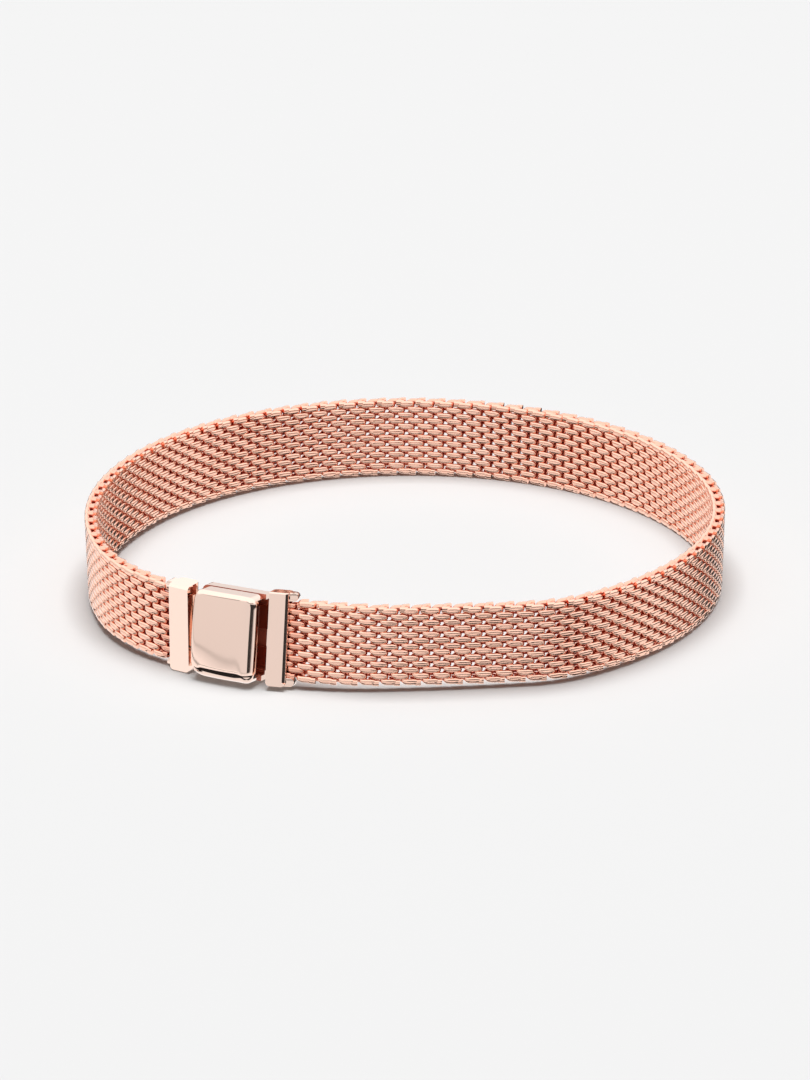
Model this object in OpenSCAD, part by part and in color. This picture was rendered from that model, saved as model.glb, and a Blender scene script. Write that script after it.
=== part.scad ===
// Mesh bracelet standing on its edge: a woven band, two end bars and a fold-over clasp.
// Millimetres. +Z is up, the clasp faces -Y and the wrist hollow is open along Z.

/* [Loop] */
// Length of the closed loop along the middle of the band, mm
loop_len = 189; // [180:1:205]
// How much higher the band's lower edge is at the clasp than at the far side, mm
band_raise = 0.7; // [0.5:0.05:0.9]

/* [Band] */
// Width of the mesh, mm
band_w = 7.7; // [7:0.1:8.5]
// Thickness of the mesh, mm
band_t = 1.25; // [1.1:0.05:1.4]
// Eased corner of the mesh's section, mm
band_ease = 0.3; // [0.15:0.05:0.4]

/* [End bars] */
// Length of the left bar along the band, mm
bar_left_l = 2.15; // [1.9:0.05:2.4]
// Length of the right bar along the band, mm
bar_right_l = 1.88; // [1.7:0.02:2.2]
// How much taller than the mesh the left bar is, mm
bar_left_over = 0.95; // [0.8:0.05:1.2]
// How much taller than the mesh the right bar is, mm
bar_right_over = 1.25; // [1.1:0.05:1.4]
// Front plate of a bar, mm
plate_t = 0.62; // [0.5:0.02:0.7]
// Wall behind the mesh in a bar, mm
bar_back_t = 0.26; // [0.2:0.02:0.4]
// Length of an ear beyond the bar's plate, mm
ear_l = 0.75; // [0.6:0.05:1]
// Height of an ear, mm
ear_h = 0.82; // [0.7:0.02:1]

/* [Clasp] */
// Length of the lid along the band, mm
lid_l = 6.65; // [6.3:0.05:7]
// Height of the lid, mm
lid_h = 8.3; // [8:0.05:8.8]
// Depth of the lid's skirts, mm
lid_d = 2.4; // [2.2:0.05:2.5]
// Depth of the whole clasp block, mm
block_d = 3.8; // [3.6:0.05:4]
// Radius of the lid's dome, mm
dome_r = 42; // [36:1:60]
// Seam between the lid and the base, mm
seam = 0.1; // [0.06:0.02:0.16]
// Turn of the clasp in plan, degrees
clasp_turn = -25.5; // [-28:0.5:-22]
// Lean of the clasp, top inward, degrees
clasp_lean = 9; // [7:0.5:10]
// Turn of the left bar in plan, degrees
bar_left_turn = -33; // [-35:0.5:-30]
// Turn of the right bar in plan, degrees
bar_right_turn = -14; // [-16:0.5:-12]
// Lean of the right bar, top inward, degrees
bar_right_lean = 13; // [11:0.5:14]

/* [Hinge] */
// Radius of the hinge pin, mm
pin_r = 0.18; // [0.15:0.01:0.2]
// Distance of the pin's axis from the lid's left and front faces, mm
pin_in = 0.75; // [0.72:0.01:0.8]
// Radial clearance of the pin in the lid, mm
pin_fit = 0.03; // [0.02:0.01:0.05]
// Radius of a lug of the base round the pin, mm
lug_r = 0.33; // [0.3:0.01:0.34]

/* [Tongue] */
// Thickness of the tongue, mm
tongue_t = 0.5; // [0.4:0.05:0.55]
// Height of the tongue, mm
tongue_h = 6.3; // [5.8:0.1:6.6]
// Radius of the catch peg, mm
peg_r = 0.7; // [0.6:0.05:0.8]

/* [Hidden] */
gap = 0.04;
wall = 0.34;
steps = 150;
bar_left_h = band_w + bar_left_over;
bar_right_h = band_w + bar_right_over;
bar_d = plate_t + band_t + bar_back_t + 2 * gap;
block_h = lid_h + 0.1;

// The clasp's own frame: x along the clasp, y inward, z up its front face.
bar_right_x = lid_l + 1.15;
bar_right_y = 0.97;
mesh_y = plate_t + gap + band_t / 2;
rest_z = block_d * sin(clasp_lean);
bar_right_z = bar_d * sin(bar_right_lean) - 0.1;
mesh_in_right = bar_right_over / 2 - 0.1;
mesh_in_left = bar_left_over / 2;

// Where the left bar's front right corner is, in the clasp's plan.
bar_left_x = -0.62;
bar_left_y = 1.7;

function turned(p, a) = [p[0] * cos(a) - p[1] * sin(a), p[0] * sin(a) + p[1] * cos(a)];

// Both ends of the mesh, at the bars' faces, on the band's lower edge.
bar_right_p = turned([bar_right_x, bar_right_y], clasp_turn);
start_in = mesh_y * cos(bar_right_lean) + mesh_in_right * sin(bar_right_lean);
start_p = bar_right_p + turned([bar_right_l, start_in], bar_right_turn);
start_z = bar_right_z + mesh_in_right * cos(bar_right_lean) - mesh_y * sin(bar_right_lean);
bar_left_p = turned([bar_left_x, bar_left_y], clasp_turn);
end_p = bar_left_p + turned([-bar_left_l, mesh_y], bar_left_turn);
end_z = mesh_in_left;
mesh_len = loop_len - norm(start_p - end_p);

// Columns: share of the mesh's length, direction in plan, outward lean of the mesh.
loop_rows = [
  [0, bar_right_turn, -bar_right_lean],
  [0.05, 2, 0],
  [0.13, 8, 1.5],
  [0.16, 33, 1.5],
  [0.77, 240, 1.5],
  [0.93, 286, 1.5],
  [1, bar_left_turn + 360, 0],
];
function row_value(t, c) = lookup(t, [for (r = loop_rows) [r[0], r[c]]]);

function step_of(i) = mesh_len / steps * [cos(row_value((i + 0.5) / steps, 1)), sin(row_value((i + 0.5) / steps, 1))];
raw = [for (i = 0, p = start_p; i <= steps; p = p + step_of(i), i = i + 1) p];
miss = raw[steps] - end_p;
path = [for (i = [0:steps]) raw[i] - miss * i / steps];

// Middle of the loop in plan, and the tilt of the mesh's lower edge.
xs = [for (p = path) p[0]];
ys = [for (p = path) p[1]];
mid = [(min(xs) + max(xs)) / 2, (min(ys) + max(ys)) / 2];
far_dir = (end_p - mid) / norm(end_p - mid);
far_len = norm(end_p - mid);
function on_plane(p) = band_raise * (0.5 + 0.5 * ((p - mid) * far_dir) / far_len);
function faded(t, span) = t < span ? pow(1 - t / span, 2) : 0;
function lower_z(i) = on_plane(path[i])
  + (start_z - on_plane(start_p)) * faded(i / steps, 0.06)
  + (end_z - on_plane(end_p)) * faded(1 - i / steps, 0.06);

// A section of the mesh: place, direction, lean, lower edge, and where its bottom and top are.
function section(p, a, lean, z, low, high) = [
  for (q = [
    [-band_t / 2 + band_ease, low],
    [band_t / 2 - band_ease, low],
    [band_t / 2, low + band_ease],
    [band_t / 2, high - band_ease],
    [band_t / 2 - band_ease, high],
    [-band_t / 2 + band_ease, high],
    [-band_t / 2, high - band_ease],
    [-band_t / 2, low + band_ease],
  ])
  let (out = q[0] * cos(lean) + q[1] * sin(lean))
  [p[0] + out * sin(a), p[1] - out * cos(a), z + q[1] * cos(lean) - q[0] * sin(lean)]
];

// The narrow ends between the ears and in the bars.
ear_gap = ear_h + gap;
low_right = ear_gap - mesh_in_right;
high_right = bar_right_h - ear_gap - mesh_in_right;
low_left = ear_gap - mesh_in_left;
high_left = bar_left_h - ear_gap - mesh_in_left;
bar_in = 0.9;
function along(p, a, d) = p + d * [cos(a), sin(a)];
function place(i) = section(path[i], row_value(i / steps, 1), row_value(i / steps, 2), lower_z(i), 0, band_w);
between = (ear_l + gap) / (mesh_len / steps);
near_start = path[0] + between * (path[1] - path[0]);
near_end = path[steps] + between * (path[steps - 1] - path[steps]);
left_turn = bar_left_turn + 360;
sections = concat(
  [
    section(along(start_p, bar_right_turn, -bar_in), bar_right_turn, -bar_right_lean, start_z, low_right, high_right),
    section(start_p, bar_right_turn, -bar_right_lean, start_z, low_right, high_right),
    section(near_start, row_value(between / steps, 1), -bar_right_lean, start_z, low_right, high_right),
  ],
  [for (i = [1:steps - 1]) place(i)],
  [
    section(near_end, row_value(1 - between / steps, 1), 0, end_z, low_left, high_left),
    section(end_p, left_turn, 0, end_z, low_left, high_left),
    section(along(end_p, left_turn, bar_in), left_turn, 0, end_z, low_left, high_left),
  ]
);
last = len(sections) - 1;
band_points = [for (s = sections) each s];
outer_x = [for (p = band_points) p[0]];
outer_y = [for (p = band_points) p[1]];
centre = [(min(outer_x) + max(outer_x)) / 2, (min(outer_y) + max(outer_y)) / 2, 0];

module centred() {
  translate(-centre) children();
}

module in_clasp() {
  translate([0, 0, rest_z]) rotate([0, 0, clasp_turn]) rotate([-clasp_lean, 0, 0]) children();
}

module in_right_bar() {
  translate([bar_right_p[0], bar_right_p[1], bar_right_z])
    rotate([0, 0, bar_right_turn])
      rotate([-bar_right_lean, 0, 0])
        children();
}

module in_left_bar() {
  translate([bar_left_p[0], bar_left_p[1], 0]) rotate([0, 0, bar_left_turn]) mirror([1, 0, 0]) children();
}

// Straight rods along each axis, from a centre point.
module rod_x(x, y, z, r, l) {
  translate([x, y, z]) rotate([0, 90, 0]) cylinder(r = r, h = l, $fn = 48);
}
module rod_y(x, y, z, r, l) {
  translate([x, y, z]) rotate([-90, 0, 0]) cylinder(r = r, h = l, $fn = 48);
}
module rod_z(x, y, z, r, l) {
  translate([x, y, z]) cylinder(r = r, h = l, $fn = 48);
}
module block(x, y, z, l, d, h) {
  translate([x, y, z]) cube([l, d, h]);
}

module mesh_band() {
  color([0.86, 0.63, 0.53])
    centred()
      polyhedron(
        points = band_points,
        faces = concat(
          [[for (j = [7:-1:0]) j]],
          [for (i = [0:last - 1]) for (j = [0:7])
            [i * 8 + j, i * 8 + (j + 1) % 8, (i + 1) * 8 + (j + 1) % 8, (i + 1) * 8 + j]],
          [[for (j = [0:7]) last * 8 + j]]
        ),
        convexity = 4
      );
}

// A bar in its own frame: x from the clasp to the mesh, y inward, z up.
bar_round = 0.55;
bar_foot = 0.4;
module bar_plan(l, h) {
  block(0, 0, 0, l, bar_d - bar_round, h);
  block(bar_round, 0, 0, l - 2 * bar_round, bar_d, h);
  rod_z(bar_round, bar_d - bar_round, 0, bar_round, h);
  rod_z(l - bar_round, bar_d - bar_round, 0, bar_round, h);
}
module bar_front(l, h) {
  block(0, -1, bar_foot, l, bar_d + 2, h - bar_foot);
  block(bar_foot, -1, 0, l - 2 * bar_foot, bar_d + 2, h);
  rod_y(bar_foot, -1, bar_foot, bar_foot, bar_d + 2);
  rod_y(l - bar_foot, -1, bar_foot, bar_foot, bar_d + 2);
}
module ear(l, z) {
  block(l - bar_in, plate_t, z - ear_h / 2, bar_in + ear_l - ear_h / 2, bar_d - plate_t - bar_round, ear_h);
  rod_y(l + ear_l - ear_h / 2, plate_t, z, ear_h / 2, bar_d - plate_t - bar_round);
}
module bar(l, h, bevel) {
  difference() {
    union() {
      intersection() {
        bar_plan(l, h);
        bar_front(l, h);
      }
      ear(l, ear_h / 2);
      ear(l, h - ear_h / 2);
    }
    block(l - bar_in - gap, plate_t, ear_h, bar_in + 1, band_t + 2 * gap, h - 2 * ear_h);
    translate([-1, 0, h - bevel]) rotate([45, 0, 0]) cube([l + 1.02, 4 * bevel, 2 * bevel]);
  }
}

module end_bar_left() {
  color([0.9, 0.76, 0.69])
    centred()
      difference() {
        in_left_bar() bar(bar_left_l, bar_left_h, 0.26);
        in_clasp() rod_x(-2, link_y, link_z, link_r + 0.02, 3);
      }
}

// The tongue: a frame with two arms, open in its middle for the catch peg.
back_t = 0.6;
tongue_y = block_d - back_t - seam - tongue_t;
tongue_x = 2.1;
tongue_z = (lid_h - tongue_h) / 2;
tongue_win = 1.75;
tongue_end = bar_right_x + 0.12;
module end_bar_right() {
  color([0.9, 0.76, 0.69])
    centred()
      union() {
        in_right_bar() bar(bar_right_l, bar_right_h, 0.12);
        in_clasp()
          difference() {
            block(tongue_x, tongue_y, tongue_z, tongue_end - tongue_x, tongue_t, tongue_h);
            block(
              tongue_x + 0.75, tongue_y - 1, lid_h / 2 - tongue_win / 2,
              tongue_end - tongue_x - 1.2, tongue_t + 2, tongue_win
            );
          }
      }
}

// The base: an open channel behind the lid, with the hinge's lugs and the catch peg.
skin = 0.36;
base_y = lid_d + seam;
left_y = 2;
left_skirt = 1.5;
link_r = 0.19;
link_y = base_y + 0.3;
link_z = 1.75;
lug_h = 0.6;
lug_low = skin + 0.07;
lug_high = lid_h - skin - 0.07 - lug_h;
base_round = 0.5;
module base_outline() {
  block(base_round, 0, -0.05, lid_l - base_round, block_d, block_h);
  block(0, 0, base_round, base_round + 0.1, block_d, block_h - 2 * base_round - 0.05);
  rod_y(base_round, 0, base_round - 0.05, base_round, block_d);
  rod_y(base_round, 0, block_h - base_round - 0.05, base_round, block_d);
}
module clasp_base() {
  color([0.88, 0.7, 0.62])
    centred()
      in_clasp()
        difference() {
          union() {
            intersection() {
              base_outline();
              union() {
                block(-1, block_d - back_t, -1, lid_l + 1, back_t, block_h + 2);
                block(-1, base_y, -1, lid_l + 1, block_d - base_y, 1 + 0.45);
                block(-1, base_y, lid_h - 0.45, lid_l + 1, block_d - base_y, 2);
                block(-1, base_y, -1, 1 + 0.55, block_d - base_y, block_h + 2);
              }
            }
            block(0, left_y, lug_low + lug_h + 0.1, 0.55, base_y - left_y + 0.1, lug_high - lug_low - lug_h - 0.2);
            lug(lug_low);
            lug(lug_high);
            rod_y(tongue_x + 0.75 + peg_r + 0.08, tongue_y - 0.2, lid_h / 2, peg_r, block_d - tongue_y);
          }
          rod_z(pin_in, pin_in, -1, pin_r + 0.01, lid_h + 2);
          rod_x(-1, link_y, link_z, link_r + 0.02, 1.42);
        }
}
module lug(z) {
  rod_z(pin_in, pin_in, z, lug_r, lug_h);
  block(pin_in - 0.25, pin_in, z, 0.6, block_d - pin_in - 0.1, lug_h);
}

// The lid: a rounded shell, softly domed in front, open behind.
corner = 0.75;
rim = 0.45;
front_left_r = 0.5;
rear_left_r = 0.75;
module lid_plan() {
  block(front_left_r, 0, 0, lid_l - front_left_r - 0.3, lid_d, lid_h);
  block(0, front_left_r, 0, lid_l, lid_d - front_left_r - rear_left_r, lid_h);
  block(1, 0.3, 0, lid_l - 1, lid_d - 0.3, lid_h);
  rod_z(front_left_r, front_left_r, 0, front_left_r, lid_h);
  rod_z(lid_l - 0.3, 0.3, 0, 0.3, lid_h);
  rod_z(rear_left_r, lid_d - rear_left_r, 0, rear_left_r, lid_h);
}
module lid_front() {
  block(corner, -1, 0, lid_l - 2 * corner, lid_d + 2, lid_h);
  block(0, -1, corner, lid_l, lid_d + 2, lid_h - 2 * corner);
  for (x = [corner, lid_l - corner]) {
    for (z = [corner, lid_h - corner]) {
      rod_y(x, -1, z, corner, lid_d + 2);
    }
  }
}
module lid_side() {
  block(-1, rim, 0, lid_l + 2, lid_d, lid_h);
  block(-1, 0, rim, lid_l + 2, lid_d, lid_h - 2 * rim);
  rod_x(-1, rim, rim, rim, lid_l + 2);
  rod_x(-1, rim, lid_h - rim, rim, lid_l + 2);
}
module clasp_lid() {
  color([0.93, 0.8, 0.73])
    centred()
      in_clasp()
        difference() {
          intersection() {
            lid_plan();
            lid_front();
            lid_side();
            translate([lid_l / 2, dome_r, -1]) cylinder(r = dome_r, h = lid_h + 2, $fn = 360);
            translate([-1, dome_r, lid_h / 2]) rotate([0, 90, 0]) cylinder(r = dome_r, h = lid_l + 2, $fn = 360);
          }
          block(wall, 0.38 + wall / 4, skin, lid_l - 2 * wall, lid_d, lid_h - 2 * skin);
          block(-1, left_skirt, skin, 1.5 + wall, lid_d, lid_h - 2 * skin);
          block(-1, 0.46, lug_low - 0.07, 1 + wall + 0.1, lid_d, lug_h + 0.14);
          block(-1, 0.46, lug_high - 0.07, 1 + wall + 0.1, lid_d, lug_h + 0.14);
          block(lid_l - 1, 0.95, skin, 2, lid_d, lid_h - 2 * skin);
          rod_z(pin_in, pin_in, lug_low - 0.07, lug_r + 0.04, lug_h + 0.14);
          rod_z(pin_in, pin_in, lug_high - 0.07, lug_r + 0.04, lug_h + 0.14);
          rod_z(pin_in, pin_in, -1, pin_r + pin_fit, lid_h + 2);
        }
}

module hinge_pin() {
  color([0.75, 0.75, 0.76])
    centred()
      in_clasp()
        rod_z(pin_in, pin_in, 0.08, pin_r, lid_h - 0.16);
}

module link_pin() {
  color([0.75, 0.75, 0.76])
    centred()
      in_clasp()
        rod_x(-1.4, link_y, link_z, link_r, 1.4 + 0.36);
}

mesh_band();
end_bar_left();
end_bar_right();
clasp_base();
clasp_lid();
hinge_pin();
link_pin();
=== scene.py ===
import math

import bpy
import numpy as np
from mathutils import Matrix, Quaternion, Vector


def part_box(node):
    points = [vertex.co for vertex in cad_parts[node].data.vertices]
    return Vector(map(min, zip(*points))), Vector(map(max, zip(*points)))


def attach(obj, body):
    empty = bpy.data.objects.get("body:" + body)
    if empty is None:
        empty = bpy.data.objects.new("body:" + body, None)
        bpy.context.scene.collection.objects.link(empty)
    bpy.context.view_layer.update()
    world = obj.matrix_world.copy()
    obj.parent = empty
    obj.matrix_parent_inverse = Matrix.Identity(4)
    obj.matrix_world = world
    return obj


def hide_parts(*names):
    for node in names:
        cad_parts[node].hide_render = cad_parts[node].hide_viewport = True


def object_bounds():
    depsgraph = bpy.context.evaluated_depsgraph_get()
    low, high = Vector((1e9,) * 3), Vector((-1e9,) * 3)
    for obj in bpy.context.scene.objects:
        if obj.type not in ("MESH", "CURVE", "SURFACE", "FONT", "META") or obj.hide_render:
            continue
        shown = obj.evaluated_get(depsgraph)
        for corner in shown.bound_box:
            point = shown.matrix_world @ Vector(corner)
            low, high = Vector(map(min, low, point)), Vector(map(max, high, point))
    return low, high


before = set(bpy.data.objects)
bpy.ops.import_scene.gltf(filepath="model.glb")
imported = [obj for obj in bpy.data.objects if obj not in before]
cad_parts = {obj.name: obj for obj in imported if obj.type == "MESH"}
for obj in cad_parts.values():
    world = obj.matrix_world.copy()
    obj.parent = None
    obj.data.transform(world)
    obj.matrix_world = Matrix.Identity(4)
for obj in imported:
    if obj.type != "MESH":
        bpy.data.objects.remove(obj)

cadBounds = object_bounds()
mm = 0.001
bpy.context.scene.view_settings.view_transform = "Standard"


def pickOnly(*objs):
    bpy.ops.object.select_all(action="DESELECT")
    for obj in objs:
        obj.select_set(True)
    bpy.context.view_layer.objects.active = objs[0] if objs else None


def named(name):
    obj = bpy.context.object
    obj.name = name
    obj.data.name = name
    return obj


def settle(obj):
    # the place goes into the mesh and the object back to the origin
    pickOnly(obj)
    bpy.ops.object.transform_apply(location=True, rotation=True, scale=True)
    return obj


def applyAll(obj):
    pickOnly(obj)
    for name in [m.name for m in obj.modifiers]:
        bpy.ops.object.modifier_apply(modifier=name)
    return obj


# Materials

class Sock:
    tree = None

    def __init__(self, link):
        self.link = link

    def calc(self, operation, *others):
        return Sock.node("ShaderNodeMath", {"operation": operation}, self, *others)

    def __add__(self, other):
        return self.calc("ADD", other)

    def __radd__(self, other):
        return self.calc("ADD", other)

    def __mul__(self, other):
        return self.calc("MULTIPLY", other)

    def __rmul__(self, other):
        return self.calc("MULTIPLY", other)

    def __sub__(self, other):
        return self.calc("SUBTRACT", other)

    def __rsub__(self, other):
        return Sock.node("ShaderNodeMath", {"operation": "SUBTRACT"}, other, self)

    @staticmethod
    def node(kind, settings, *values, out=0, **byName):
        made = Sock.tree.nodes.new(kind)
        for key, value in settings.items():
            if key == "stops":
                ramp = made.color_ramp
                while len(ramp.elements) < len(value):
                    ramp.elements.new(0.5)
                for element, (at, colour) in zip(ramp.elements, value):
                    element.position, element.color = at, (*colour, 1)
            else:
                setattr(made, key, value)
        for place, value in [*enumerate(values), *byName.items()]:
            if isinstance(value, Sock):
                Sock.tree.links.new(value.link, made.inputs[place])
            elif value is not None:
                made.inputs[place].default_value = value
        return Sock(made.outputs[out])


def metal(name, look):
    mat = bpy.data.materials.new(name)
    mat.use_nodes = True
    Sock.tree = mat.node_tree
    shader = mat.node_tree.nodes["Principled BSDF"]
    place = Sock.node("ShaderNodeTexCoord", {}, out="Object")
    cloud = Sock.node("ShaderNodeTexNoise", {}, Vector=place, Scale=look["cloudScale"], Detail=3.0)
    grain = Sock.node("ShaderNodeTexNoise", {}, Vector=place, Scale=look["grainScale"], Detail=4.0)
    colour = blended(cloud, look["colour"], look["tint"])
    # where the attribute deep is set, a darker colour is mixed in as painted shade, and Metallic is lowered
    # there
    if "deep" in look:
        inward = Sock.node("ShaderNodeAttribute", {"attribute_name": "deep"}, out="Fac")
        colour = blended(inward, colour, look["deep"])
        Sock.tree.links.new((1 - inward * look["dullInShade"]).link, shader.inputs["Metallic"])
    rough = look["rough"] + (grain - 0.5) * look["roughSpread"]
    shader.inputs["Metallic"].default_value = 1.0
    Sock.tree.links.new(colour.link, shader.inputs["Base Color"])
    Sock.tree.links.new(rough.link, shader.inputs["Roughness"])
    bump = Sock.node("ShaderNodeBump", {}, Strength=look["bump"], Distance=0.01 * mm, Height=grain)
    Sock.tree.links.new(bump.link, shader.inputs["Normal"])
    return mat


def blended(factor, one, other):
    # a Mix node on colours, each a link or three numbers
    values = [c if isinstance(c, Sock) else (*c, 1) for c in (one, other)]
    made = Sock.node("ShaderNodeMix", {"data_type": "RGBA"}, out=2)
    for place, value in ((0, factor), (6, values[0]), (7, values[1])):
        if isinstance(value, Sock):
            Sock.tree.links.new(value.link, made.link.node.inputs[place])
        else:
            made.link.node.inputs[place].default_value = value
    return made


# in the wire's look, deep is the colour of painted shade in the weave's crevices and inside the bars
wireLook = {
    "colour": (0.98, 0.62, 0.49), "tint": (0.96, 0.56, 0.42), "deep": (0.72, 0.24, 0.15), "dullInShade": 0.0,
    "cloudScale": 300.0, "grainScale": 6000.0,
    "rough": 0.11, "roughSpread": 0.08, "bump": 0.06,
}
# in the polished look, deep is the colour of painted shade on the faces inside the clasp's hollows, which
# are also made partly non-metallic
polishLook = {
    "colour": (0.94, 0.72, 0.62), "tint": (0.93, 0.69, 0.585), "deep": (0.62, 0.17, 0.1), "dullInShade": 0.7,
    "cloudScale": 120.0, "grainScale": 2500.0,
    "rough": 0.07, "roughSpread": 0.05, "bump": 0.04,
}
pinLook = {
    "colour": (0.8, 0.6, 0.52), "tint": (0.74, 0.54, 0.46),
    "cloudScale": 300.0, "grainScale": 5000.0,
    "rough": 0.22, "roughSpread": 0.1, "bump": 0.08,
}
wireMetal = metal("rose wire", wireLook)
polishedMetal = metal("polished rose", polishLook)
pinMetal = metal("drawn pin", pinLook)
print("materials ready")

# The loop that the mesh follows

loop = {
    "length": 189.0, "raise": 0.7, "width": 7.7, "thick": 1.25, "ease": 0.3, "steps": 150,
    "plate": 0.62, "gap": 0.04, "block": 3.8,
    "claspTurn": -25.5, "claspLean": 9.0,
    "rightTurn": -14.0, "rightLean": 13.0, "rightLength": 1.88, "rightOver": 1.25,
    "rightX": 7.8, "rightY": 0.97,
    "barDepth": 2.21, "barSunk": 0.1,
    "blendEnds": 0.06,    # share of the length over which the mesh goes to the bars' height
    "leftTurn": -33.0, "leftLength": 2.15, "leftOver": 0.95, "leftX": -0.62, "leftY": 1.7,
    # share of the mesh's length, direction in plan, outward lean
    "rows": [
        (0, -14, -13), (0.05, 2, 0), (0.13, 8, 1.5), (0.16, 33, 1.5),
        (0.77, 240, 1.5), (0.93, 286, 1.5), (1, 327, 0),
    ],
}


def turned(point, angle):
    c, s = math.cos(math.radians(angle)), math.sin(math.radians(angle))
    return np.array([point[0] * c - point[1] * s, point[0] * s + point[1] * c])


def rowValue(t, column):
    return float(np.interp(t, [r[0] for r in loop["rows"]], [r[column] for r in loop["rows"]]))


class BandPath:
    def __init__(self):
        plan = loop
        lean = math.radians(plan["rightLean"])
        meshY = plan["plate"] + plan["gap"] + plan["thick"] / 2
        inRight = plan["rightOver"] / 2 - plan["barSunk"]
        barZ = plan["barDepth"] * math.sin(lean) - plan["barSunk"]
        rightCorner = turned([plan["rightX"], plan["rightY"]], plan["claspTurn"])
        startIn = meshY * math.cos(lean) + inRight * math.sin(lean)
        self.start = rightCorner + turned([plan["rightLength"], startIn], plan["rightTurn"])
        self.startZ = barZ + inRight * math.cos(lean) - meshY * math.sin(lean)
        leftCorner = turned([plan["leftX"], plan["leftY"]], plan["claspTurn"])
        self.end = leftCorner + turned([-plan["leftLength"], meshY], plan["leftTurn"])
        self.endZ = plan["leftOver"] / 2
        self.meshLen = plan["length"] - float(np.linalg.norm(self.start - self.end))
        n = plan["steps"]
        points = [self.start]
        for i in range(n):
            a = math.radians(rowValue((i + 0.5) / n, 1))
            points.append(points[-1] + self.meshLen / n * np.array([math.cos(a), math.sin(a)]))
        points = np.array(points)
        points -= (points[-1] - self.end) * (np.arange(n + 1) / n)[:, None]
        self.points = points
        mid = (points.min(0) + points.max(0)) / 2
        reach = self.end - mid
        self.mid, self.farLen = mid, float(np.linalg.norm(reach))
        self.farDir = reach / self.farLen
        # the part's own centre is the middle of the band's box
        corners = []
        half, top, ease = plan["thick"] / 2, plan["width"], plan["ease"]
        for i in range(1, n):
            a = math.radians(rowValue(i / n, 1))
            tilt = math.radians(rowValue(i / n, 2))
            for t, h in ((half, ease), (half, top - ease), (-half, ease), (-half, top - ease)):
                out = t * math.cos(tilt) + h * math.sin(tilt)
                corners.append(points[i] + out * np.array([math.sin(a), -math.cos(a)]))
        corners = np.array(corners)
        self.centre = (corners.min(0) + corners.max(0)) / 2

    def onPlane(self, p):
        return loop["raise"] * (0.5 + 0.5 * float((p - self.mid) @ self.farDir) / self.farLen)

    def lowerZ(self, t, p):
        def faded(u):
            return (1 - u / loop["blendEnds"]) ** 2 if u < loop["blendEnds"] else 0.0
        z = self.onPlane(p)
        z += (self.startZ - self.onPlane(self.start)) * faded(t)
        return z + (self.endZ - self.onPlane(self.end)) * faded(1 - t)

    def station(self, s):
        # a matrix: x along the band, y outward, z up the leaning mesh, at the mesh's lower edge, in metres
        t = min(max(s / self.meshLen, 0.0), 1.0)
        at = t * loop["steps"]
        i = min(int(at), loop["steps"] - 1)
        p = self.points[i] + (at - i) * (self.points[i + 1] - self.points[i])
        z = self.lowerZ(t, p)
        a, tilt = math.radians(rowValue(t, 1)), math.radians(rowValue(t, 2))
        p = p + (s - t * self.meshLen) * np.array([math.cos(a), math.sin(a)]) - self.centre
        out = Vector((math.sin(a), -math.cos(a), 0))
        along = Vector((math.cos(a), math.sin(a), 0))
        up = Vector((0, 0, 1))
        outward = out * math.cos(tilt) - up * math.sin(tilt)
        upward = out * math.sin(tilt) + up * math.cos(tilt)
        turn = Matrix((along, outward, upward)).transposed().to_4x4()
        return Matrix.Translation(Vector((p[0], p[1], z)) * mm) @ turn


bandPath = BandPath()
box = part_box("mesh_band")
print("mesh length", round(bandPath.meshLen, 2), "band box", [[round(v / mm, 3) for v in c] for c in box])

# The woven mesh: one flattened wire coil, copied along the band

weave = {
    "wire": 0.56,         # wire's thickness through the band, before its faces are rolled flat
    "flat": 1.1,          # how much taller than thick its section is
    "roll": 0.09,         # depth rolled off each face
    "pitch": 1.19,        # rise of one turn
    "width": 2.0,         # over one coil, along the band
    "thick": 1.25,
    "thinner": 0.28,      # share of its thickness that the wire loses where it turns
    "square": 0.62,       # below 1 the turns are squarer
    "steep": 0.95, "early": 0.25,
    "endFall": 0.3,       # the first and last strands are nearly level towards their ends
    "firstFull": 1.74,    # centre of the first coil of full height, from the bar's face
    "squeeze": 0.93,      # coils in the bars are this much shorter
    "coils": 177,
    "pointsInHalfTurn": 11,
    "sides": 12,
    "endTurn": 4,         # points of the flat quarter turn that closes each wire end
    # coils inside the bars get this much more painted shade
    "inBarShade": 0.45,
    "deepFrom": 0.5, "deepTo": 0.33,    # from here inwards the wire is darker: painted shade in the crevices of the weave
    "halfTurns": 13,
    "narrow": 1.4,        # width of the coils right inside the bars
    "rolled": 0.02, "rolledLeft": 0.2,    # where rolling starts, and the share of the roundness left
    # near the band's top and bottom edges the painted shade is lifted by this share
    "edgeFrom": 0.35, "edgeOver": 0.25, "edgeShadeLift": 0.7,
    "runs": 5,
}


def wireFall(u):
    fall = u + weave["steep"] * math.sin(2 * math.pi * u) / (2 * math.pi)
    return fall + weave["early"] * (1 - math.cos(2 * math.pi * u)) / (2 * math.pi)


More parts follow.
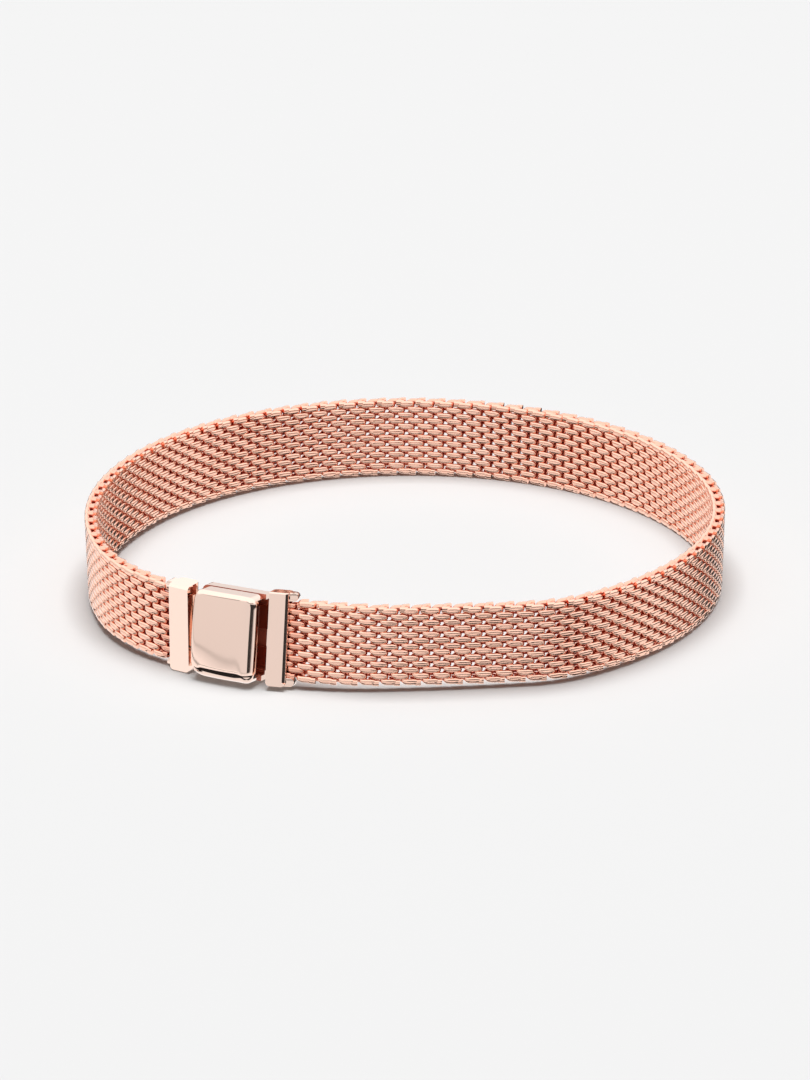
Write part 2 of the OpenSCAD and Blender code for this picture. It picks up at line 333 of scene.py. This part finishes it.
def wireCoil(name, side, squeeze=1.0, width=None):
    # a poly curve with a round section, turned into a mesh; side 1 starts on the outer face
    w = weave
    halfTurns = w["halfTurns"]
    a = ((width or w["width"]) - w["wire"]) / 2
    b = (w["thick"] + 2 * w["roll"] - w["wire"]) / 2
    n = w["pointsInHalfTurn"]
    half = w["pitch"] / 2
    middle = loop["width"] / 2
    top = middle + half * (halfTurns - 1) / 2

    def spot(k, u, z):
        c, s = math.cos(math.pi * u), math.sin(math.pi * u)
        x = -a * math.copysign(abs(c) ** w["square"], c)
        y = b * math.copysign(abs(s) ** w["square"], s)
        turn = side if k % 2 == 0 else -side
        thick = 1 - w["thinner"] * (1 - abs(s))
        return (x * turn, y * turn, z, thick)

    points = []
    for k in range(halfTurns):
        for j in range(n + (k == halfTurns - 1)):
            u = j / n
            fall = wireFall(u) - wireFall(0.5)
            if (k == 0 and u < 0.5) or (k == halfTurns - 1 and u > 0.5):
                fall *= w["endFall"]
            points.append(spot(k, u, top - half * (k + fall)))
    # a flat quarter turn at each end meets the next coil's last strand
    ends = w["endTurn"]
    first, last = points[0][2], points[-1][2]
    before = [spot(0, -0.5 * j / ends, first) for j in range(ends, 0, -1)]
    after = [spot(halfTurns - 1, 1 + 0.5 * j / ends, last) for j in range(1, ends + 1)]
    points = before + points + after
    bpy.ops.object.select_all(action="DESELECT")
    bpy.ops.curve.primitive_nurbs_path_add()
    coil = named(name)
    curve = coil.data
    curve.splines.clear()
    spline = curve.splines.new("POLY")
    spline.points.add(len(points) - 1)
    for point, place in zip(spline.points, points):
        point.co = (place[0] * mm, place[1] * mm, place[2] / w["flat"] * mm, 1)
        point.radius = place[3]
    curve.bevel_depth = w["wire"] / 2 * mm
    curve.bevel_resolution = (w["sides"] - 4) // 2
    curve.use_fill_caps = True
    curve.twist_mode = "MINIMUM"
    pickOnly(coil)
    bpy.ops.object.convert(target="MESH")
    coil = bpy.context.object
    coil.scale = (1, 1, w["flat"])
    bpy.ops.object.transform_apply(location=False, rotation=False, scale=True)
    # the faces of the band are rolled flat, which leaves each strand with a broad pale face
    face = w["thick"] / 2
    # the attribute deep holds painted shade: darker where the wire goes into the band's thickness, less near
    # the band's edges, more for the coils inside the bars
    deep = coil.data.attributes.new("deep", "FLOAT", "POINT")
    for vertex in coil.data.vertices:
        y, z = vertex.co.y / mm, vertex.co.z / mm
        over = abs(y) - (face - w["rolled"])
        if over > 0:
            y = math.copysign(face - w["rolled"] + over * w["rolledLeft"], y)
            vertex.co.y = y * mm
        inward = min(max((w["deepFrom"] - abs(y)) / (w["deepFrom"] - w["deepTo"]), 0.0), 1.0)
        edge = min(max((abs(z - middle) - loop["width"] / 2 + w["edgeFrom"]) / w["edgeOver"], 0.0), 1.0)
        inBar = w["inBarShade"] if squeeze < 1 else 0.0
        deep.data[vertex.index].value = min(inward * (1 - w["edgeShadeLift"] * edge) + inBar, 1.0)
        vertex.co.z = (middle + (z - middle) * squeeze) * mm
    bpy.ops.object.shade_smooth()
    return coil


def coilAt(coil, s):
    copy = coil.copy()
    copy.data = coil.data.copy()
    bpy.context.collection.objects.link(copy)
    copy.matrix_world = bandPath.station(s)
    return copy


def joined(name, parts):
    pickOnly(*parts)
    bpy.ops.object.join()
    obj = named(name)
    settle(obj)
    obj.data.materials.clear()
    obj.data.materials.append(wireMetal)
    return obj


def makeWeave():
    w = weave
    # a full coil has seven strands on the outer face, a short one seven on the inner face
    full = wireCoil("coil full", 1)
    short = wireCoil("coil short", -1)
    inBars = wireCoil("coil in bars", -1, w["squeeze"])
    narrow = wireCoil("coil narrow", 1, w["squeeze"], width=w["narrow"])
    step = (bandPath.meshLen - 2 * w["firstFull"]) / (w["coils"] - 1)
    placed = [(0.0, narrow), (w["firstFull"] - step, inBars)]
    placed += [(w["firstFull"] + i * step, short if i % 2 else full) for i in range(w["coils"])]
    placed += [(bandPath.meshLen - w["firstFull"] + step, inBars), (bandPath.meshLen, narrow)]
    pieces = []
    per = math.ceil(len(placed) / w["runs"])
    for k in range(w["runs"]):
        parts = [coilAt(coil, s) for s, coil in placed[k * per:(k + 1) * per]]
        pieces.append(joined("mesh_run_%d" % (k + 1), parts))
    for coil in (full, short, inBars, narrow):
        bpy.data.objects.remove(coil)
    return pieces


meshRuns = makeWeave()
for piece in meshRuns:
    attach(piece, "bracelet")
    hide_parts("mesh_band")
print("mesh woven:", sum(len(p.data.polygons) for p in meshRuns), "faces")

# Clasp and bars

clasp = {
    "long": 6.65, "high": 8.3, "deep": 2.4, "wall": 0.34, "skin": 0.36,
    "pinIn": 0.75, "pinHole": 0.21, "pinR": 0.18, "pinLow": 0.85, "pinHigh": 7.85,
    "boreOver": 0.05, "pinEnd": 0.05,
    "lugLow": 0.43, "lugHigh": 7.27, "lugTall": 0.6, "lugFit": 0.07, "lugFront": 0.46, "lugReach": 1.44,
    "hollowFront": 0.66, "hollowRound": 0.75, "openLeft": 1.5,
    "openRight": 1.15, "openLow": 0.55, "openRound": 0.3,
    "past": 4.0, "side": 1.0,         # how far the cutters reach behind the lid and beside its edge
    # points inside the lid's and base's hollows: faces turned towards them get painted shade
    "lidInside": (3.3, 2.2, 4.15), "baseInside": (3.5, 1.5, 4.15), "lidEdge": 0.03, "skirtLeast": 0.15,
    "straightFrom": 1.8, "straightOver": 1.4,
    # rounding of the lid's front edges: width in the front view, and depth
    "bottomRound": (1.3, 1.6), "topRound": (0.42, 0.4), "leftRound": (0.65, 0.6), "rightRound": (0.9, 0.75),
    "lower": 0.3,        # the rounded bottom hangs a little lower than the straight one
    "cornerLow": 1.3, "cornerHigh": 0.95, "domeR": 42.0, "domeTwist": 1.0, "domeShift": 0.8, "rearLeft": 0.7,
    "cuts": 47,
    "barRound": 0.5, "edge": 0.07, "smooth": 40.0, "flatFrom": 0.05, "merge": 0.001, "dissolve": 0.6,
}


def claspFrame():
    # x along the clasp, y inward from the lid's face, z up its height, in metres
    rest = loop["block"] * math.sin(math.radians(loop["claspLean"]))
    turn = Matrix.Rotation(math.radians(loop["claspTurn"]), 4, "Z")
    lean = Matrix.Rotation(-math.radians(loop["claspLean"]), 4, "X")
    place = Vector((-bandPath.centre[0], -bandPath.centre[1], rest)) * mm
    return Matrix.Translation(place) @ turn @ lean


def outline(x, z):
    # half sizes of the lid, the radius of the nearest corner, and how far a place reaches into that corner
    c = clasp
    a, b = c["long"] / 2, (c["high"] + c["lower"]) / 2
    r = c["cornerLow"] if z < 0 else c["cornerHigh"]
    return a, b, r, abs(x) - (a - r), abs(z) - (b - r)


def pillow(x, z):
    # depth of the lid's face at a place measured from its middle: a soft dome, and the edges' roundings
    c = clasp
    a, b, r, qx, qz = outline(x, z)
    side = c["leftRound"] if x < 0 else c["rightRound"]
    end = c["bottomRound"] if z < 0 else c["topRound"]
    twist = c["domeTwist"] * ((x - c["domeShift"]) / a) ** 2 if z < 0 else 0.0
    total = x * x / (2 * c["domeR"])
    # the right edge stays straight
    straight = min(max((x - (a - c["straightFrom"])) / c["straightOver"], 0.0), 1.0)
    straight = straight * straight * (3 - 2 * straight)
    total += z * z / (2 * c["domeR"]) * (1 + twist) * (1 - straight)
    if qx > 0 and qz > 0:
        # round a corner the size of the rounding goes over from the side's to the end's
        share = math.atan2(qz, qx) / (math.pi / 2)
        share = share * share * (3 - 2 * share)
        width, deep = [p + (q - p) * share for p, q in zip(side, end)]
        near = [(width, deep, r - math.hypot(qx, qz))]
    else:
        near = [(*end, b - abs(z)), (*side, a - abs(x))]
    for width, deep, reach in near:
        close = min(max(1 - reach / width, 0.0), 1.0)
        total += deep * (1 - math.sqrt(max(1 - close * close, 0.0)))
    return total


def makeLid():
    c = clasp
    bpy.ops.object.select_all(action="DESELECT")
    bpy.ops.mesh.primitive_cube_add(size=2)
    lid = named("lid_shell")
    bpy.ops.object.mode_set(mode="EDIT")
    bpy.ops.mesh.select_all(action="SELECT")
    bpy.ops.mesh.subdivide(number_cuts=c["cuts"])
    bpy.ops.object.mode_set(mode="OBJECT")
    for vertex in lid.data.vertices:
        u, v, w = vertex.co.x, vertex.co.y, vertex.co.z
        # rows lie closer together near the edges
        a, b = outline(u, w)[:2]
        x, z = a * math.sin(u * math.pi / 2), b * math.sin(w * math.pi / 2)
        # corners of the outline are pulled in onto their arcs
        a, b, r, qx, qz = outline(x, z)
        if qx > 0 and qz > 0:
            reach = max(qx, qz) / math.hypot(qx, qz)
            x = math.copysign(a - r + qx * reach, x)
            z = math.copysign(b - r + qz * reach, z)
        front = min(pillow(x, z), c["deep"] - c["skirtLeast"])
        t = (v + 1) / 2
        y = front + (c["deep"] - front) * t
        # the rear left edge is rounded where the lid swings past the bar
        back = max((y - (c["deep"] - c["rearLeft"])) / c["rearLeft"], 0.0)
        left = c["rearLeft"] * (1 - math.sqrt(max(1 - back * back, 0.0)))
        x = max(x, -a + left)
        vertex.co = Vector((x + a, y, z + b - c["lower"])) * mm
    inner, past, side = c["high"] - c["skin"], c["past"], c["side"]
    cutters = [
        ("hollow", (c["wall"], c["hollowFront"], c["skin"]), (c["long"] - c["wall"], past, inner),
         c["hollowRound"]),
        ("open left", (-side, c["openLeft"], c["skin"]), (side, past, inner), 0),
        ("open right", (c["long"] - side, c["openRight"], c["openLow"]), (c["long"] + side, past, inner),
         c["openRound"]),
    ]
    for k, low in enumerate((c["lugLow"], c["lugHigh"])):
        top = low + c["lugTall"] + c["lugFit"]
        start = (-side, c["lugFront"], low - c["lugFit"])
        cutters.append(("lug room %d" % k, start, (c["lugReach"], past, top), 0))
    for name, low, high, chamfer in cutters:
        cutAway(lid, cutterBox(name, low, high, chamfer))
    cutAway(lid, pinRod("pin bore", c["pinHole"], c["pinLow"] - c["boreOver"], c["pinHigh"] + c["boreOver"]))
    return finished(lid, "clasp_lid", "lid", claspFrame(), Vector(c["lidInside"]), c["lidEdge"])


def pinRod(name, radius, low, high):
    bpy.ops.object.select_all(action="DESELECT")
    bpy.ops.mesh.primitive_cylinder_add(vertices=32, radius=radius * mm, depth=(high - low) * mm)
    rod = named(name)
    rod.location = Vector((clasp["pinIn"], clasp["pinIn"], (low + high) / 2)) * mm
    return settle(rod)


def makePin():
    # the lid's rounded corners leave room for a slightly shorter pin, with its ends chamfered
    c = clasp
    pin = pinRod("pin_of_hinge", c["pinR"], c["pinLow"], c["pinHigh"])
    soften = pin.modifiers.new("ends", "BEVEL")
    soften.width = c["pinEnd"] * mm
    soften.segments = 2
    applyAll(pin)
    pickOnly(pin)
    bpy.ops.object.shade_smooth_by_angle(angle=math.radians(clasp["smooth"]))
    pin.matrix_world = claspFrame()
    settle(pin)
    pin.data.materials.append(pinMetal)
    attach(pin, "bracelet")
    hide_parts("hinge_pin")


def cutterBox(name, low, high, chamfer):
    low, high = Vector(low) * mm, Vector(high) * mm
    bpy.ops.object.select_all(action="DESELECT")
    bpy.ops.mesh.primitive_cube_add(size=1, location=(low + high) / 2)
    box = named(name)
    box.scale = high - low
    settle(box)
    if chamfer:
        # the edges along x at the front follow the lid's rounding
        bpy.ops.object.mode_set(mode="EDIT")
        bpy.ops.mesh.select_all(action="DESELECT")
        bpy.ops.object.mode_set(mode="OBJECT")
        for edge in box.data.edges:
            ends = [box.data.vertices[i].co for i in edge.vertices]
            edge.select = all(abs(p.y - low.y) < 1e-6 and abs(p.z - low.z) < 1e-6 for p in ends)
        bpy.ops.object.mode_set(mode="EDIT")
        bpy.ops.mesh.bevel(offset=chamfer * mm, segments=4)
        bpy.ops.object.mode_set(mode="OBJECT")
    return box


def cutAway(obj, cutter):
    cut = obj.modifiers.new("cut", "BOOLEAN")
    cut.operation = "DIFFERENCE"
    cut.solver = "EXACT"
    cut.object = cutter
    applyAll(obj)
    bpy.data.objects.remove(cutter)


def finished(obj, nodeName, body, place, hollow=None, edge=0.0):
    # softened edges, painted shade on the faces inside the hollow, the place, and what the piece stands for
    if edge:
        soften = obj.modifiers.new("edges", "BEVEL")
        soften.width = edge * mm
        soften.segments = 2
        soften.limit_method = "ANGLE"
        soften.angle_limit = math.radians(clasp["smooth"])
        applyAll(obj)
    # faces turned towards the point inside the hollow are marked for painted shade
    deep = obj.data.attributes.new("deep", "FLOAT", "FACE")
    for face in obj.data.polygons:
        inward = hollow is not None and (hollow * mm - face.center).dot(face.normal) > 0
        deep.data[face.index].value = 1.0 if inward else 0.0
    pickOnly(obj)
    bpy.ops.object.shade_smooth_by_angle(angle=math.radians(clasp["smooth"]))
    if edge > clasp["flatFrom"]:
        # broad flat faces keep their own direction, and only the rounded edges turn
        flat = obj.modifiers.new("flat faces", "WEIGHTED_NORMAL")
        flat.keep_sharp = True
        flat.weight = 100
        applyAll(obj)
    obj.matrix_world = place
    settle(obj)
    obj.data.materials.clear()
    obj.data.materials.append(polishedMetal)
    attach(obj, body)
    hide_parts(nodeName)
    return obj


def softened(nodeName, name, place, hollow=None, long=None):
    # a merged copy of a CAD piece with its edges rounded, worked on in the piece's own frame
    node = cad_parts[nodeName]
    obj = node.copy()
    obj.data = node.data.copy()
    bpy.context.collection.objects.link(obj)
    obj.parent = None
    obj.matrix_world = place.inverted() @ node.matrix_world
    settle(obj)
    obj.name = obj.data.name = name
    bpy.ops.object.mode_set(mode="EDIT")
    bpy.ops.mesh.select_all(action="SELECT")
    bpy.ops.mesh.remove_doubles(threshold=clasp["merge"] * mm)
    bpy.ops.mesh.dissolve_limited(angle_limit=math.radians(clasp["dissolve"]))
    bpy.ops.mesh.select_all(action="DESELECT")
    bpy.ops.object.mode_set(mode="OBJECT")
    if long:
        for edge in obj.data.edges:
            ends = [obj.data.vertices[i].co / mm for i in edge.vertices]
            edge.select = all(abs(p.x - long) < 0.01 and p.y < 0.01 for p in ends)
        print(name, "rounded edges", sum(e.select for e in obj.data.edges))
        bpy.ops.object.mode_set(mode="EDIT")
        bpy.ops.mesh.bevel(offset=clasp["barRound"] * mm, segments=6)
        bpy.ops.object.mode_set(mode="OBJECT")
    return finished(obj, nodeName, "bracelet", place, hollow, clasp["edge"])


def barFrame(x, y, z, turn, lean, flip):
    corner = turned([x, y], loop["claspTurn"]) - bandPath.centre
    place = Matrix.Translation(Vector((corner[0], corner[1], z)) * mm)
    place = place @ Matrix.Rotation(math.radians(turn), 4, "Z")
    place = place @ Matrix.Rotation(-math.radians(lean), 4, "X")
    return place @ Matrix.Diagonal((flip, 1, 1, 1))


rightZ = loop["barDepth"] * math.sin(math.radians(loop["rightLean"])) - loop["barSunk"]
rightFrame = barFrame(loop["rightX"], loop["rightY"], rightZ, loop["rightTurn"], loop["rightLean"], 1)
leftFrame = barFrame(loop["leftX"], loop["leftY"], 0, loop["leftTurn"], 0, 1)
makeLid()
makePin()
softened("end_bar_right", "bar_right", rightFrame, long=loop["rightLength"])
softened("end_bar_left", "bar_left", leftFrame)
softened("clasp_base", "base", claspFrame(), hollow=Vector(clasp["baseInside"]))
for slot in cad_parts["link_pin"].material_slots:
    slot.material = pinMetal
print("clasp and bars ready")

# Floor, light, camera

studio = {
    "floorSide": 6.0, "floorColour": (0.625, 0.625, 0.625),
    # brightness of the room against the height of the direction, from straight down to straight up
    "tones": [
        (-1.0, 0.95), (-0.5, 1.14), (-0.3, 1.11), (-0.21, 0.86), (-0.183, 0.6),
        (-0.166, 0.86), (0.2, 0.9), (0.4, 1.4), (1.0, 1.4),
    ],
    # each flag dims a part of the room to a level: low and high bound and softness, in each direction
    "flags": [
        {"height": (0.24, 0.4, 0.04), "depth": (-2.0, -0.6, 0.2), "level": 0.5},
        {"height": (-0.97, -0.74, 0.03), "depth": (-0.31, 0.02, 0.06), "level": 0.02},
        {"height": (-0.75, -0.52, 0.03), "depth": (-2.0, 0.02, 0.06), "level": 0.02},
        {"height": (-0.17, 0.12, 0.02), "sideways": (0.08, 2.0, 0.05), "depth": (-2.0, 0.75, 0.1),
         "level": 0.04},
        {"height": (-0.331, -0.317, 0.007), "sideways": (-2.0, 0.3, 0.15), "level": 0.28},
        {"height": (-0.62, -0.05, 0.06), "sideways": (0.42, 0.66, 0.1), "depth": (0.5, 2.0, 0.1),
         "level": 0.04},
        {"height": (-0.32, -0.03, 0.03), "depth": (0.88, 2.0, 0.05), "level": 0.12},
    ],
    "floorLight": (0.75, 2.0, 0.1), "floorLevel": 0.7, "floorRough": 0.9,
    "boxPlace": (0, 0.1, 2.0), "boxSide": 1.2, "boxPower": 48.0,
    "lookAt": (0.0084, 0.1354, 4.0), "elevation": 20.88, "distance": 740.0,
    "lens": 252.8, "shift": (-0.00056, -0.00177), "roll": -0.3, "sensor": 36.0, "clip": (0.01, 20.0),
}


def makeFloor():
    bpy.ops.object.select_all(action="DESELECT")
    bpy.ops.mesh.primitive_plane_add(size=studio["floorSide"])
    floor = named("floor")
    floor.location.z = cadBounds[0][2]
    mat = bpy.data.materials.new("pale floor")
    mat.use_nodes = True
    shader = mat.node_tree.nodes["Principled BSDF"]
    shader.inputs["Base Color"].default_value = (*studio["floorColour"], 1)
    shader.inputs["Roughness"].default_value = studio["floorRough"]
    shader.inputs["Specular IOR Level"].default_value = 0.0
    floor.data.materials.append(mat)
    # the metal mirrors the room of the world node instead of this endless floor
    floor.visible_glossy = False


def between(value, low, high, soft):
    # 1 where a value is between two bounds, with soft edges
    steps = {"interpolation_type": "SMOOTHSTEP"}
    rise = Sock.node("ShaderNodeMapRange", steps, value, low - soft, low, 0.0, 1.0)
    return rise * Sock.node("ShaderNodeMapRange", steps, value, high, high + soft, 1.0, 0.0)


def makeWorld():
    # a pale room with dark flags: where the photographer stands, at the right and along the far horizon
    world = bpy.data.worlds.new("soft studio")
    world.use_nodes = True
    bpy.context.scene.world = world
    Sock.tree = world.node_tree
    background = world.node_tree.nodes["Background"]
    direction = Sock.node("ShaderNodeTexCoord", {}, out="Generated")
    sideways, depth, height = (Sock.node("ShaderNodeSeparateXYZ", {}, direction, out=k) for k in range(3))
    stops = [((z + 1) / 2, (tone,) * 3) for z, tone in studio["tones"]]
    tone = Sock.node("ShaderNodeValToRGB", {"stops": stops}, height * 0.5 + 0.5)
    ways = {"height": height, "sideways": sideways, "depth": depth}
    for flag in studio["flags"]:
        mask = None
        for way, value in ways.items():
            if way in flag:
                part = between(value, *flag[way])
                mask = part if mask is None else mask * part
        tone = tone * (1 - mask) + mask * flag["level"]
    # the floor is lit from high up alone, so its shadows stay close to the mesh
    toFloor = Sock.node("ShaderNodeLightPath", {}, out="Is Diffuse Ray")
    high = between(height, *studio["floorLight"]) * studio["floorLevel"]
    tone = tone * (1 - toFloor) + high * toFloor
    world.node_tree.links.new(tone.link, background.inputs["Color"])
    background.inputs["Strength"].default_value = 1.0


def softBox(name, place, aim, size, power):
    bpy.ops.object.select_all(action="DESELECT")
    bpy.ops.object.light_add(type="AREA", location=place)
    light = named(name)
    light.data.shape = "RECTANGLE"
    light.data.size, light.data.size_y = size
    light.data.energy = power
    light.visible_glossy = False
    light.rotation_mode = "QUATERNION"
    light.rotation_quaternion = (Vector(aim) - Vector(place)).to_track_quat("-Z", "Y")


def makeCamera():
    e = math.radians(studio["elevation"])
    target = Vector(studio["lookAt"]) * mm
    back = Vector((0, -math.cos(e), math.sin(e)))
    data = bpy.data.cameras.new("camera")
    camera = bpy.data.objects.new("camera", data)
    bpy.context.collection.objects.link(camera)
    camera.location = target + back * studio["distance"] * mm
    camera.rotation_mode = "QUATERNION"
    roll = Quaternion((0, 0, 1), math.radians(studio["roll"]))
    camera.rotation_quaternion = (-back).to_track_quat("-Z", "Y") @ roll
    data.lens = studio["lens"]
    data.sensor_fit = "AUTO"
    data.sensor_width = studio["sensor"]
    data.shift_x, data.shift_y = studio["shift"]
    data.clip_start, data.clip_end = studio["clip"]
    bpy.context.scene.camera = camera


makeFloor()
makeWorld()
softBox("top light", studio["boxPlace"], (0, 0, 0), (studio["boxSide"],) * 2, studio["boxPower"])
makeCamera()
print("studio ready")
